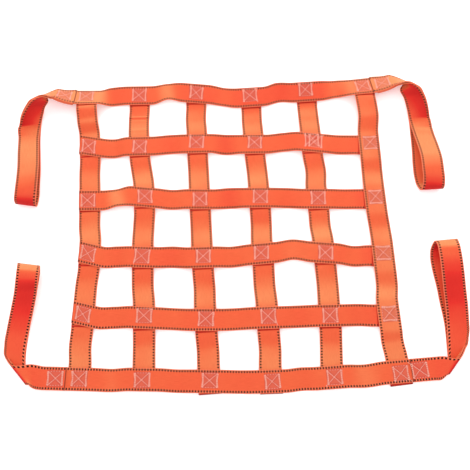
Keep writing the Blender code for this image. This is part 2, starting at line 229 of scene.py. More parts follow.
NEAR_LEFT_LOOP_MM = (
    (-541, -268, -489, -297, 1.3),
    (-539, -228, -486, -234, 1.3),
    (-534, -181, -480, -181, 1.3),
    (-531, -143, -477, -143, 1.3),
    (-528, -112, -474, -116, 2),
    (-525, -89, -471, -95, 8),
    (-522, -77, -468, -84, 23),
    (-517, -90, -464, -95, 38),
    (-517, -116, -464, -119, 40),
    (-521, -148, -468, -148, 29),
    (-529, -184, -475, -184, 17),
    (-537, -228, -484, -234, 8),
    (-541, -268, -489, -297, 5),
)
NEAR_RIGHT_LOOP_MM = (
    (547, -240, 496, -272, 1.3),
    (546, -215, 496, -222, 1.3),
    (540, -169, 490, -169, 1.3),
    (537, -131, 485, -131, 1.3),
    (530, -89, 479, -89, 1.5),
    (527, -55, 475, -55, 5),
    (530, -28, 478, -34, 13),
    (534, -18, 483, -23, 27),
    (534, -31, 485, -33, 38),
    (535, -57, 487, -57, 42),
    (538, -97, 490, -97, 38),
    (543, -138, 493, -138, 27),
    (547, -177, 498, -177, 16),
    (549, -212, 499, -219, 9),
    (548, -240, 498, -272, 5),
)
EYES = {
    "far_left": (FAR_LEFT_ROOT_MM, None, FAR_LEFT_LOOP_MM),
    "far_right": (FAR_RIGHT_ROOT_MM, None, FAR_RIGHT_LOOP_MM),
    "near_left": (NEAR_LEFT_ROOT_MM, NEAR_LEFT_FOLD_MM, NEAR_LEFT_LOOP_MM),
    "near_right": (NEAR_RIGHT_ROOT_MM, NEAR_RIGHT_FOLD_MM, NEAR_RIGHT_LOOP_MM),
}
# Where the upper leg of each eye ends on the border, from the middle of the corner's crossing
CUT_REACH_MM = {"far_left": 28, "far_right": 20, "near_left": 30, "near_right": 28}
# Sections of an eye's leg that are sewn to the border, and each leg's distance from the middle of
# the doubled strap past them
SEWN_SECTIONS = END_STEPS + 2
LEG_SPACING = LAYER_STEP / 2 + 0.6 * MM
# A slanting section of an eye is at most this many times as long as the strap is wide
ROOT_SLANT, LOOP_SLANT = 1.09, 1.3
# An edge leaves and reaches a section with a pull of at most this many times the way between them,
# so that it doesn't swing wide where the strap turns tightly
STEER_LIMIT = 1.1
print("Tables:", 6 * 6, "crossings and", len(EYES), "lifting eyes")

# %% [markdown]
# A smooth run between measured sections could be a spline object, but a spline twists a flat band in
# ways that webbing doesn't. Here each edge gets its own smooth curve through its own points instead.

# %% Sections and smooth runs
def section_at(middle, across):
    """Section of full width, from the far edge to the near one, or from right to left."""
    return middle - across * HALF_WIDTH, middle + across * HALF_WIDTH


def section_from_row(row):
    """Section between two edge points given in mm, with a height each or one for both at the end."""
    first = row[:3] if len(row) == 6 else (*row[:2], row[-1])
    return Vector(first) * MM, Vector(row[-3:]) * MM


def middle_of(section):
    return (section[0] + section[1]) / 2


def normals_of(sections):
    """Unit normal of the strap's face at each section."""
    normals = []
    for index, section in enumerate(sections):
        before = middle_of(sections[max(index - 1, 0)])
        after = middle_of(sections[min(index + 1, len(sections) - 1)])
        normals.append((section[1] - section[0]).cross(after - before).normalized())
    return normals


def offset_sections(sections, distances):
    """The same sections moved along the strap's normal."""
    moved = []
    for section, normal, distance in zip(sections, normals_of(sections), distances):
        moved.append((section[0] + normal * distance, section[1] + normal * distance))
    return moved


def full_width(sections, slant_limit):
    """The same sections, stretched about their middles to the strap's width square to its path."""
    stretched = []
    for index, (first, second) in enumerate(sections):
        before = middle_of(sections[max(index - 1, 0)])
        after = middle_of(sections[min(index + 1, len(sections) - 1)])
        along = (after - before).normalized()
        line = second - first
        width = max((line - along * line.dot(along)).length, line.length / slant_limit)
        stretched.append(section_at((first + second) / 2, line / width))
    return stretched


def hermite(start, start_slope, end, end_slope, share):
    square, cube = share * share, share ** 3
    return (start * (2 * cube - 3 * square + 1) + start_slope * (cube - 2 * square + share)
            + end * (3 * square - 2 * cube) + end_slope * (cube - square))


def smooth_sections(sections, first, last):
    """Smooth run of sections through those from first to last; the others only steer its ends."""
    knots = [0.0]
    for before, after in zip(sections, sections[1:]):
        knots.append(knots[-1] + (middle_of(after) - middle_of(before)).length)

    def slope(index, edge):
        low, high = max(index - 1, 0), min(index + 1, len(sections) - 1)
        here = sections[index][edge]
        if low == index or high == index:
            return (sections[high][edge] - sections[low][edge]) / (knots[high] - knots[low])
        arriving = (here - sections[low][edge]) / (knots[index] - knots[low])
        leaving = (sections[high][edge] - here) / (knots[high] - knots[index])
        weight = (knots[index] - knots[low]) / (knots[high] - knots[low])
        return arriving * (1 - weight) + leaving * weight

    run = [sections[first]]
    for index in range(first, last):
        length = knots[index + 1] - knots[index]
        reach = max((sections[index + 1][edge] - sections[index][edge]).length for edge in (0, 1))
        steps = max(1, math.ceil(reach / SECTION_STEP))
        for step in range(1, steps + 1):
            ends = []
            for edge in (0, 1):
                before, after = sections[index][edge], sections[index + 1][edge]
                steers = [slope(index + side, edge) * length for side in (0, 1)]
                longest = STEER_LIMIT * (after - before).length
                for steer in steers:
                    if steer.length > longest:
                        steer.length = longest
                place = hermite(before, steers[0], after, steers[1], step / steps)
                # The strap lies on the floor or on itself, so it doesn't dip between two sections
                place.z = max(place.z, min(before.z, after.z))
                ends.append(place)
            run.append(tuple(ends))
    return run

# %% [markdown]
# At a crossing two straps lie face to face, one step of thickness apart. All the straps share the
# crossing's middle and its lean, so the layers never cut into each other.

# %% Crossings
def column_is_on_top(row, column):
    """The last column lies over the inner rows; everywhere else the row lies over the column."""
    return column == RIGHT_COLUMN and FAR_ROW < row < NEAR_ROW


def crossing_lean(row, column):
    return math.radians(FAR_BORDER_LEAN_DEG[column]) if row == FAR_ROW else 0.0


def crossing_normal(row, column):
    lean = crossing_lean(row, column)
    return AWAY * math.sin(lean) + UP * math.cos(lean)


def crossing_middle(row, column, strap_is_row):
    """Mid thickness of one of the two straps in the middle of a crossing."""
    place = Vector((CROSSING_X_MM[row][column], CROSSING_Y_MM[row][column], LIFT_MM[row][column])) * MM
    place += UP * STRAP_THICKNESS / 2
    if strap_is_row != column_is_on_top(row, column):
        place += crossing_normal(row, column) * LAYER_STEP
    return place


def flat_directions(middles, normals, start_guide, end_guide):
    """Unit direction of the strap in the plane of each crossing, along the line of its neighbours."""
    guides = [start_guide or middles[0], *middles, end_guide or middles[-1]]
    directions = []
    for index, normal in enumerate(normals):
        chord = guides[index + 2] - guides[index]
        directions.append((chord - normal * chord.dot(normal)).normalized())
    return directions

# %% Columns and rows
def span_sections(start, end, crest, lean):
    """Sections between two flat crossings, over or under the crest in the middle of the span.

    start and end are a place, a direction and a direction across; both ends are left out.
    """
    along = (end[0] - start[0]).normalized()
    along = Vector((along.x, along.y, 0)).normalized()
    sideways = along.cross(UP)
    if abs(along.x) > abs(along.y):
        face = AWAY * math.sin(lean) + UP * math.cos(lean)
        sideways = along.cross(face).normalized()
    halves = ((start, (crest, along, sideways)), ((crest, along, sideways), end))
    sections = []
    for number, (first, second) in enumerate(halves):
        length = (second[0] - first[0]).length
        steps = math.ceil(length / SECTION_STEP)
        for step in range(1, steps + 1 - number):
            share = step / steps
            place = hermite(first[0], first[1] * length, second[0], second[1] * length, share)
            ease = share * share * (3 - 2 * share)
            across = first[2].lerp(second[2], ease).normalized()
            sections.append(section_at(place, across))
    return sections


def strap_sections(middles, normals, crests, leans, reaches, guides=(None, None), turns=(0,) * 6):
    """Sections of a whole strap, from its start to its end.

    Where the strap turns at a crossing, its weave shears: the sections stay square to the line of
    its neighbours.
    """
    start_reach, end_reach = reaches
    lines = flat_directions(middles, normals, *guides)
    directions = [Matrix.Rotation(math.radians(turn), 3, normal) @ line for line, normal, turn
                  in zip(lines, normals, turns)]
    sections = []
    for index, (middle, along, normal) in enumerate(zip(middles, directions, normals)):
        across = lines[index].cross(normal)
        before = start_reach if index == 0 else FLAT_REACH
        after = end_reach if index == len(middles) - 1 else FLAT_REACH
        for reach in (-before, 0, after):
            sections.append(section_at(middle + along * reach, across))
        if index < len(middles) - 1:
            next_normal = normals[index + 1]
            next_along = directions[index + 1]
            start = (middle + along * FLAT_REACH, along, across)
            end = (middles[index + 1] - next_along * FLAT_REACH, next_along,
                   lines[index + 1].cross(next_normal))
            sections += span_sections(start, end, crests[index], leans[index])
    return sections


def column_sections(column):
    middles = [crossing_middle(row, column, False) for row in range(6)]
    normals = [crossing_normal(row, column) for row in range(6)]
    crests = []
    for span in range(5):
        crest = (middles[span] + middles[span + 1]) / 2
        crest.x += COLUMN_BOW_MM[column][span] * MM
        height = SAG_SHARE * (LIFT_MM[span][column] + LIFT_MM[span + 1][column]) / 2
        if span == 0:
            height = HUMP_MM.get(column, height)
        crest.z = STRAP_THICKNESS / 2 + height * MM
        crests.append(crest)
    reaches = (HIDDEN_END, TAIL_MM[column] * MM)
    return strap_sections(middles, normals, crests, [0.0] * 5, reaches)


def row_sections(row):
    middles = [crossing_middle(row, column, True) for column in range(6)]
    normals = [crossing_normal(row, column) for column in range(6)]
    crests = []
    leans = []
    for span in range(5):
        crest = (middles[span] + middles[span + 1]) / 2
        crest.y += ROW_BOW_MM[row][span] * MM
        lean = math.radians(ROW_LEAN_DEG[row][span])
        height = SAG_SHARE * (LIFT_MM[row][span] + LIFT_MM[row][span + 1]) / 2 * MM
        crest.z = STRAP_THICKNESS / 2 + max(height, HALF_WIDTH * math.sin(abs(lean)))
        crests.append(crest)
        leans.append(lean)
    turns = ROW_TURN_DEG[row]
    if row not in (FAR_ROW, NEAR_ROW):
        return strap_sections(middles, normals, crests, leans, (FLUSH_END, HIDDEN_END), turns=turns)
    place = "far" if row == FAR_ROW else "near"
    guides = []
    for side, middle in (("left", middles[0]), ("right", middles[-1])):
        toward = BORDER_ENDS[f"{place}_{side}"][0]
        guides.append(Vector((*toward, 0)) * MM + UP * middle.z)
    return strap_sections(middles, normals, crests, leans, (FLAT_REACH, FLAT_REACH), guides, turns)


def end_sections(flat_end, crossing, corner):
    """A border's end past its flat crossing, which may twist on its way."""
    _, reach, twist, moved = BORDER_ENDS[corner]
    along = (middle_of(flat_end) - middle_of(crossing)).normalized()
    across = (flat_end[1] - flat_end[0]).normalized()
    turn = math.radians(twist) * (1 if across.cross(UP).dot(along) > 0 else -1)
    length = reach * MM - FLAT_REACH
    moved = Vector(moved) * MM
    sections = []
    for step in range(1, END_STEPS + 1):
        share = step / END_STEPS
        middle = middle_of(flat_end) + along * length * share + moved * share * share
        sections.append(section_at(middle, Matrix.Rotation(turn * share, 3, along) @ across))
    return sections

# %% [markdown]
# A lifting eye is one strap doubled into a loop. Its legs are sewn over and under the border's end.
# The far eyes turn on edge and twist over. The near eyes fold under themselves about a slanted line.

# %% Folds and eyes
def fold_sections(fold):
    """Sections of the doubled strap turning under itself about a cone that widens to one edge."""
    far, near = [Vector((*edge[0], 0)) * MM for edge in fold]
    outward = (far - near).normalized().cross(UP)
    if outward.x * far.x < 0:
        outward.negate()
    sections = []
    for step in range(FOLD_STEPS + 1):
        turn = math.pi * step / FOLD_STEPS
        ends = []
        for start, end, radius, bulge in fold:
            place = Vector((*start, 0)).lerp(Vector((*end, 0)), step / FOLD_STEPS)
            place += outward * bulge * math.sin(turn) + UP * radius * (1 + math.cos(turn))
            ends.append(place * MM + UP * DOUBLED_HEIGHT)
        sections.append(tuple(ends))
    return sections


def eye_sections(border, at_start, corner):
    """Sections of one lifting eye, from the end of its upper leg around to that of its lower leg.

    Both legs are sewn flat to the border's end, one over it and one under it.
    """
    crossing, flat_end = (border[1], border[0]) if at_start else (border[-2], border[-1])
    share = CUT_REACH_MM[corner] * MM / FLAT_REACH
    cut = tuple(crossing[edge].lerp(flat_end[edge], share) for edge in (0, 1))
    sewn = end_sections(flat_end, crossing, corner)
    root_rows, fold, loop_rows = EYES[corner]
    root = full_width(sewn[-1:] + [section_from_row(row) for row in root_rows], ROOT_SLANT)
    guides = sewn[-2:] + root[1:]
    if fold:
        guides += fold_sections(fold)
    doubled = [cut, flat_end] + sewn[:-1] + smooth_sections(guides, 1, len(guides) - 1)
    # The face turns over with the direction of travel, so the left eyes' legs swap sides
    side = -1 if at_start else 1
    spacings = [side * (LAYER_STEP if index < SEWN_SECTIONS else LEG_SPACING)
                for index in range(len(doubled))]
    upper_leg = offset_sections(doubled, spacings)
    lower_leg = offset_sections(doubled, [-spacing for spacing in spacings])[1:]
    lower_leg.reverse()
    open_part = full_width([section_from_row(row) for row in loop_rows], LOOP_SLANT)
    guides = upper_leg[-2:] + open_part + lower_leg[:2]
    loop = smooth_sections(guides, 1, len(guides) - 2)
    return upper_leg[:-1] + loop + lower_leg[1:]

# %% All the paths, in the frame of the solids
def net_straps():
    """Sections of every strap, by its name."""
    straps = {}
    for column in range(6):
        straps[f"column_{column + 1}"] = column_sections(column)
    for row in range(FAR_ROW + 1, NEAR_ROW):
        straps[f"row_{row + 1}"] = row_sections(row)
    borders = {"far": row_sections(FAR_ROW), "near": row_sections(NEAR_ROW)}
    for place, border in borders.items():
        left_end = end_sections(border[0], border[1], f"{place}_left")
        right_end = end_sections(border[-1], border[-2], f"{place}_right")
        straps[f"border_{place}"] = left_end[::-1] + border + right_end
        for side in ("left", "right"):
            corner = f"{place}_{side}"
            straps[f"eye_{corner}"] = eye_sections(border, side == "left", corner)
    return straps


def shift_to_frame(straps):
    """How far the net's own box has to move to stand on the middle of the floor."""
    reach = []
    for sections in straps.values():
        half = STRAP_THICKNESS / 2
        for section, normal in zip(sections, normals_of(sections)):
            reach += [edge + normal * side for edge in section for side in (-half, half)]
    lows = [min(place[axis] for place in reach) for axis in range(3)]
    highs = [max(place[axis] for place in reach) for axis in range(3)]
    return Vector(((lows[0] + highs[0]) / 2, (lows[1] + highs[1]) / 2, lows[2]))


shift = shift_to_frame(net_straps())
# From here on the paths are finer than those of the solids, so that the bands look smooth
SECTION_STEP = 4 * MM
paths = {name: [tuple(edge - shift for edge in section) for section in sections]
         for name, sections in net_straps().items()}
print("Paths:", sum(len(sections) for sections in paths.values()), "sections, moved by",
      [round(v, 4) for v in shift])

# %% [markdown]
# The second column was folded when it was stored, and keeps two low ridges straight across it, between
# the far border and the next row. Only its own sections rise there.

# %% Creases
# How far each crease is along the strap, how high it stands and half its length, in mm
CREASES_MM = ((81, 1.1, 2.4), (87, -0.5, 3.0), (119, 0.6, 4.5))
CREASE_STEP = 1.2 * MM


def lengths_along(sections):
    lengths = [0.0]
    for before, after in zip(sections, sections[1:]):
        lengths.append(lengths[-1] + (middle_of(after) - middle_of(before)).length)
    return lengths


def with_creases(sections, creases):
    """The same strap in finer steps, with a low ridge straight across it at each crease."""
    fine = [sections[0]]
    for before, after in zip(sections, sections[1:]):
        steps = max(1, math.ceil((middle_of(after) - middle_of(before)).length / CREASE_STEP))
        fine += [tuple(before[edge].lerp(after[edge], step / steps) for edge in (0, 1))
                 for step in range(1, steps + 1)]
    raised = []
    for section, length in zip(fine, lengths_along(fine)):
        rise = sum(height * MM * math.exp(-((length - place * MM) / (reach * MM)) ** 2)
                   for place, height, reach in creases)
        raised.append(tuple(edge + UP * rise for edge in section))
    return raised


paths["column_2"] = with_creases(paths["column_2"], CREASES_MM)
lengths_of = {name: lengths_along(sections) for name, sections in paths.items()}
print("Creases:", len(CREASES_MM), "in column_2, now of", len(paths["column_2"]), "sections")

# %% [markdown]
# The camera stands where the photograph was taken from: well above the net and a little in front of
# it. The grid's lines lean together towards the top, and that convergence gives the distance.

# %% Camera
CAMERA_ELEVATION = math.radians(74)
FOCAL_PIXELS = 604
PHOTO_PIXELS = 470
SCALE_PIXELS_PER_M = 405
SENSOR_MM = 36

# The middle of the picture is a hair to the left of the grid's own origin
AIM = Vector((-1.1, 0, 0)) * MM
target = AIM - shift
distance = FOCAL_PIXELS / SCALE_PIXELS_PER_M
camera_data = bpy.data.cameras.new("camera")
camera_data.sensor_width = SENSOR_MM
camera_data.lens = FOCAL_PIXELS / PHOTO_PIXELS * SENSOR_MM
camera = bpy.data.objects.new("camera", camera_data)
bpy.context.scene.collection.objects.link(camera)
backwards = Vector((0, -math.cos(CAMERA_ELEVATION), math.sin(CAMERA_ELEVATION)))
camera.location = target + backwards * distance
camera.rotation_euler = (math.radians(90) - CAMERA_ELEVATION, 0, 0)
bpy.context.scene.camera = camera
# The photograph has plain, saturated colours
bpy.context.scene.view_settings.view_transform = "Standard"
print("Camera:", [round(v, 3) for v in camera.location], "lens", round(camera_data.lens, 1))

# %% [markdown]
# Nodes are wired with two small helpers, so that each finish below reads as a short recipe.

# %% Node helpers
def new_finish(name):
    """An empty material, a function that adds a node to it, and one that feeds its shader's inputs."""
    finish = bpy.data.materials.new(name)
    finish.use_nodes = True
    tree = finish.node_tree

    def feed(node, inputs):
        for key, value in inputs.items():
            if isinstance(value, bpy.types.NodeSocket):
                tree.links.new(value, node.inputs[key])
            else:
                node.inputs[key].default_value = value

    def add(kind, inputs=(), **settings):
        node = tree.nodes.new(kind)
        for key, value in settings.items():
            setattr(node, key, value)
        feed(node, dict(inputs))
        return node

    return finish, add, partial(feed, tree.nodes["Principled BSDF"])


def math_node(add, operation, first, second=0.0, third=0.0):
    return add("ShaderNodeMath", {0: first, 1: second, 2: third}, operation=operation).outputs[0]


def ramp_between(add, value, low, high, at_low=0.0, at_high=1.0):
    """Smooth step of a value from at_low to at_high."""
    node = add("ShaderNodeMapRange", {"Value": value, "From Min": low, "From Max": high,
                                      "To Min": at_low, "To Max": at_high},
               interpolation_type="SMOOTHSTEP")
    return node.outputs["Result"]


def blend_colours(add, share, first, second):
    return add("ShaderNodeMix", {0: share, 6: first, 7: second}, data_type="RGBA").outputs[2]


def noise_node(add, vector, scale, detail):
    return add("ShaderNodeTexNoise", {"Vector": vector, "Scale": scale, "Detail": detail}).outputs["Fac"]


def bump_node(add, height, strength, distance):
    inputs = {"Height": height, "Strength": strength, "Distance": distance}
    return add("ShaderNodeBump", inputs).outputs[0]


# %% [markdown]
# Lifting webbing is woven from thick polyester yarns. The warp runs along the strap and shows as fine
# ribs, with the filling's short picks between them. A black marker yarn floats up and down along both
# edges, so it shows as a row of beads. The pattern follows the strap, so it reads the strap's own map
# in metres: across the strap, then along it. A second map gives the place around the nearest box of
# stitches, where the thread pulls the webbing in. A third gives the distance from the strap's nearest
# cut end, where the yarns are melted together, and from the middle of the strap that lies over it.

# %% Webbing
RIB_PITCH = 1.9 * MM
PICK_PITCH = 1.5 * MM
# The noise that makes single yarns is drawn out along the strap: cells per metre across and along it
YARN_CELLS = (900.0, 60.0)
# The row of beads: its middle's distance from the edge, its half width, and its soft rim's share of it
MARKER_INSET = 4.1 * MM
MARKER_HALF_WIDTH = 2.3 * MM
MARKER_RIM = 0.15
# Length of one bead and its gap, then the bead's half length and its soft end, as shares of that
MARKER_PITCH = 6.6 * MM
MARKER_HALF_BEAD = 0.27
BEAD_END = 0.04
BOX_HALF = 18 * MM
# Long patches of tone: cells per metre and how far they shift the tone
PATCH_CELLS, PATCH_SHIFT = 7.0, 0.34
# Painted shade and painted light between the straps that lie over it: a strap is painted redder in the
# shade past one of them and more orange as it comes up to the next: from and to how far from the middle
# of the strap that lies over it, and by how much
TONE_FROM, TONE_TO = 27 * MM, 72 * MM
PAINTED_SHADE_REDDENING, PAINTED_LIGHT_LIFT = 0.13, 0.05
# The shade beside that strap starts to fade and ends this far past its edge
SHADE_FADES, SHADE_ENDS, SHADE_SHARE = 2 * MM, 4.6 * MM, 0.88
# Tones of the dye and of the painted light, by its tone: from painted shade where the webbing leans to
# the front to a painted highlight where it leans back
DYE_AND_PAINTED_LIGHT_TONES = (
    (-0.85, (0.56, 0.013, 0.011, 1)),
    (-0.50, (0.74, 0.028, 0.018, 1)),
    (-0.22, (0.79, 0.088, 0.037, 1)),
    (0.03, (0.79, 0.122, 0.044, 1)),
    (0.36, (0.80, 0.265, 0.100, 1)),
)
DEEP_RED = (0.42, 0.012, 0.010, 1)
CONTACT_RED = (0.44, 0.006, 0.005, 1)
STITCHED_RED = (0.52, 0.110, 0.085, 1)
SELVEDGE_ORANGE = (0.80, 0.20, 0.10, 1)
MELTED_BROWN = (0.14, 0.022, 0.016, 1)
MARKER_BLACK = (0.002, 0.001, 0.001, 1)


def make_webbing(name, painted_light_shift, painted_light_share):
    """Webbing with painted light: the shift paints a group of straps lighter or redder, and the lean's
    share says how strongly the painted shade and highlight by facing show. A higher tone is more orange.
    """
    finish, add, feed_shader = new_finish(name)
    calc, ramp, blend = (partial(tool, add) for tool in (math_node, ramp_between, blend_colours))
    times, minus = partial(calc, "MULTIPLY"), partial(calc, "SUBTRACT")

    def values_of(map_name):
        uv = add("ShaderNodeUVMap", uv_map=map_name).outputs[0]
        return add("ShaderNodeSeparateXYZ", {0: uv}).outputs[:2]

    across, along = values_of("strap")
    box_along, box_across = values_of("box")
    from_end, from_cover = values_of("cover")
    coordinates = add("ShaderNodeTexCoord").outputs

    # Yarns
    rib = calc("SINE", times(across, 2 * math.pi / RIB_PITCH))
    pick = calc("SINE", times(along, 2 * math.pi / PICK_PITCH))
    weave = calc("MULTIPLY_ADD", times(rib, pick), 0.5, 0.5)
    yarn_map = add("ShaderNodeCombineXYZ", {0: times(across, YARN_CELLS[0]),
                                            1: times(along, YARN_CELLS[1])}).outputs[0]
    yarns = noise_node(add, yarn_map, 1.0, 3.0)

    # Marker yarn in beads along both edges
    from_edge = calc("MINIMUM", across, minus(STRAP_WIDTH, across))
    from_marker = calc("ABSOLUTE", minus(from_edge, MARKER_INSET))
    in_line = ramp(from_marker, MARKER_HALF_WIDTH * (1 - MARKER_RIM),
                   MARKER_HALF_WIDTH * (1 + MARKER_RIM), 1.0, 0.0)
    from_bead = calc("ABSOLUTE", minus(calc("FRACT", calc("DIVIDE", along, MARKER_PITCH)), 0.5))
    in_bead = ramp(from_bead, MARKER_HALF_BEAD - BEAD_END, MARKER_HALF_BEAD + BEAD_END, 1.0, 0.0)
    bead = times(in_line, in_bead)

    # Stitched box: the thread pulls the webbing in along its seams, and painted shade darkens the
    # webbing in that dip
    s, t = calc("ABSOLUTE", box_along), calc("ABSOLUTE", box_across)
    from_side = calc("MAXIMUM", s, t)
    in_box = ramp(from_side, BOX_HALF - 1 * MM, BOX_HALF + 2 * MM, 1.0, 0.0)
    from_seam = calc("ABSOLUTE", minus(from_side, BOX_HALF - 1 * MM))
    from_cross = times(calc("ABSOLUTE", minus(s, t)), 0.7)
    from_thread = calc("MINIMUM", from_seam, from_cross)
    pulled_and_shaded = times(ramp(from_thread, 0.5 * MM, 3.5 * MM, 1.0, 0.0), in_box)

    # Dye and painted light: redder where the webbing leans to the front, which is painted shade, and
    # more orange where it leans back, which is a painted highlight; the long soft patches are the dye's
    # own tone
    # Painted light: the face's normal, towards the back or the front, sets a lighter or a redder tone
    lean = add("ShaderNodeSeparateXYZ", {0: coordinates["Normal"]}).outputs[1]
    lean = times(lean, ramp(from_edge, 0.2 * MM, 1 * MM, 0.0, painted_light_share))
    patches = noise_node(add, coordinates["Object"], PATCH_CELLS, 2.0)
    tone_with_painted_light = calc("MULTIPLY_ADD", minus(patches, 0.5), PATCH_SHIFT, lean)
    tone_with_painted_light = calc("ADD", tone_with_painted_light, painted_light_shift)
    near_side = ramp(from_cover, -1 * MM, 1 * MM)
    # Painted shade past the strap that lies over it, and painted light before the next one
    painted_reddening = times(near_side, ramp(from_cover, TONE_FROM, TONE_TO, PAINTED_SHADE_REDDENING, 0.0))
    painted_lift = times(minus(1.0, near_side), ramp(from_cover, -TONE_TO, -TONE_FROM, 0.0, PAINTED_LIGHT_LIFT))
    tone_with_painted_light = calc("ADD", minus(tone_with_painted_light, painted_reddening), painted_lift)
    low, high = DYE_AND_PAINTED_LIGHT_TONES[0][0], DYE_AND_PAINTED_LIGHT_TONES[-1][0]
    tones = add("ShaderNodeValToRGB", {0: calc("DIVIDE", minus(tone_with_painted_light, low), high - low)})
    stops = tones.color_ramp.elements
    for stop, (value, colour) in enumerate(DYE_AND_PAINTED_LIGHT_TONES):
        element = stops[stop] if stop < 2 else stops.new(1.0)
        element.position, element.color = (value - low) / (high - low), colour
    dye_and_painted_light = tones.outputs[0]

    # Over the dye and painted light: darker yarns, painted shade in the weave's grooves, the box,
    # painted shade along its seams, the selvedge, the pale gaps between the beads, the beads, the
    # painted shade beside the strap that lies over it, which shows on one side, and the melted end
    shade = ramp(from_cover, HALF_WIDTH + SHADE_FADES, HALF_WIDTH + SHADE_ENDS, SHADE_SHARE, 0.0)
    past_cover = times(ramp(from_cover, HALF_WIDTH - 1.5 * MM, HALF_WIDTH), shade)
    for share, colour in (
            (ramp(yarns, 0.25, 0.75, 0.0, 0.16), DEEP_RED),
            (ramp(weave, 0.0, 0.35, 0.20, 0.0), DEEP_RED),
            (times(in_box, 0.5), STITCHED_RED),
            (times(pulled_and_shaded, 0.25), DEEP_RED),
            (ramp(from_edge, 1.2 * MM, 2.6 * MM, 0.55, 0.0), SELVEDGE_ORANGE),
            (times(minus(in_line, bead), 0.6), SELVEDGE_ORANGE),
            (bead, MARKER_BLACK),
            (past_cover, CONTACT_RED),
            (ramp(from_end, 0.7 * MM, 1.5 * MM, 0.85, 0.0), MELTED_BROWN)):
        dye_and_painted_light = blend(share, dye_and_painted_light, colour)

    height = calc("MULTIPLY_ADD", yarns, 0.35, weave)
    height = calc("MULTIPLY_ADD", bead, 0.8, height)
    height = calc("MULTIPLY_ADD", pulled_and_shaded, -3.0, height)
    feed_shader({"Base Color": dye_and_painted_light, "Roughness": ramp(yarns, 0.2, 0.8, 0.52, 0.74),
                 "Specular IOR Level": 0.12, "Sheen Weight": 0.04, "Sheen Roughness": 0.45,
                 "Sheen Tint": (1.0, 0.50, 0.30, 1), "Normal": bump_node(add, height, 0.55, 0.00025)})
    return finish


# Lit and shaded copies of one webbing: painted light makes the columns lighter and the far eyes a little
# lighter, and painted shade makes the near eyes redder
webbing_across = make_webbing("webbing_across", -0.01, 0.9)
webbing_away = make_webbing("webbing_away", 0.16, 0.5)
webbing_far_eye = make_webbing("webbing_far_eye", 0.04, 1.1)
webbing_near_eye = make_webbing("webbing_near_eye", -0.14, 1.5)
print("Finish: webbing of four painted_light_copies, each of", len(webbing_across.node_tree.nodes), "nodes")

# %% Thread
def make_thread():
    finish, add, feed_shader = new_finish("thread")
    fibres = noise_node(add, add("ShaderNodeTexCoord").outputs["Object"], 900.0, 2.0)
    share = ramp_between(add, fibres, 0.3, 0.7)
    feed_shader({"Base Color": blend_colours(add, share, (0.74, 0.24, 0.17, 1), (0.84, 0.42, 0.33, 1)),
                 "Roughness": 0.5, "Sheen Weight": 0.3, "Normal": bump_node(add, fibres, 0.4, 0.0002)})
    return finish


thread = make_thread()
print("Finish:", thread.name)

# %% [markdown]
# Each band starts as a flat grid, as the webbing comes off its roll. The grid's rows are laid on the
# path's sections, and the grid gets its thickness and its rounded selvedges from modifiers. A
# cloth simulation could drape it, but the net was photographed as it lies, and the path already says
# how.

# %% Band
ACROSS_CELLS = 10
BAND_THICKNESS = 2.3 * MM
SELVEDGE_ROUND = 0.8 * MM
# Where a strap has no box or no strap over it, the map says that it is this far away
FAR_OFF = 1.0


def only(obj):
    """Selects one object and nothing else."""
    bpy.ops.object.select_all(action="DESELECT")
    obj.select_set(True)
    bpy.context.view_layer.objects.active = obj


def apply_modifier(obj, kind, **settings):
    only(obj)
    modifier = obj.modifiers.new(kind.lower(), kind)
    for key, value in settings.items():
        setattr(modifier, key, value)
    bpy.ops.object.modifier_apply(modifier=modifier.name)


def nearest_of(places, middle):
    """Place, along and across the strap, that is nearest to a face's middle, or one that is far off."""
    return min(places, key=lambda place: abs(place[0] - middle), default=(middle - FAR_OFF, 0.0))


def weave_band(name, sections, finish, box_places, cover_places, shaded_side):
    """A band through the sections, with its three maps: the strap's, of its boxes and of its covers."""
    lengths = lengths_of[name]
    bpy.ops.object.select_all(action="DESELECT")
    bpy.ops.mesh.primitive_grid_add(x_subdivisions=ACROSS_CELLS, y_subdivisions=len(sections) - 1,
                                    size=1)
    band = bpy.context.active_object
    band.name = name + "_band"
    mesh = band.data
    columns = ACROSS_CELLS + 1
    for vertex in mesh.vertices:
        row, column = divmod(vertex.index, columns)
        vertex.co = sections[row][0].lerp(sections[row][1], column / ACROSS_CELLS)
    strap_map = mesh.uv_layers[0]
    strap_map.name = "strap"
    box_map = mesh.uv_layers.new(name="box")
    cover_map = mesh.uv_layers.new(name="cover")
    for face in mesh.polygons:
        corners = [divmod(mesh.loops[loop].vertex_index, columns) for loop in face.loop_indices]
        middle = sum(lengths[row] for row, _ in corners) / len(corners)
        box, cover = nearest_of(box_places, middle), nearest_of(cover_places, middle)
        for loop, (row, column) in zip(face.loop_indices, corners):
            across = column / ACROSS_CELLS * STRAP_WIDTH
            from_end = min(lengths[row], lengths[-1] - lengths[row])
            strap_map.data[loop].uv = (across, lengths[row])
            box_map.data[loop].uv = (lengths[row] - box[0], across - HALF_WIDTH - box[1])
            cover_map.data[loop].uv = (from_end, (lengths[row] - cover[0]) * shaded_side)
    apply_modifier(band, "SOLIDIFY", thickness=BAND_THICKNESS, offset=0, use_even_offset=False)
    apply_modifier(band, "BEVEL", width=SELVEDGE_ROUND, segments=3, limit_method="ANGLE",
                   angle_limit=math.radians(60))
    only(band)
    bpy.ops.object.mode_set(mode="EDIT")
    bpy.ops.mesh.select_all(action="SELECT")
    bpy.ops.mesh.normals_make_consistent(inside=False)
    bpy.ops.object.mode_set(mode="OBJECT")
    bpy.ops.object.shade_smooth_by_angle(angle=math.radians(50))
    mesh.materials.clear()
    mesh.materials.append(finish)
    return band


# %% [markdown]
# The boxes of stitches sit about in the middle of each crossing, on whichever strap is on top. They are
# sewn by eye, so each is a few millimetres off. Beside each corner, a second box holds the lifting eye
# to the border.

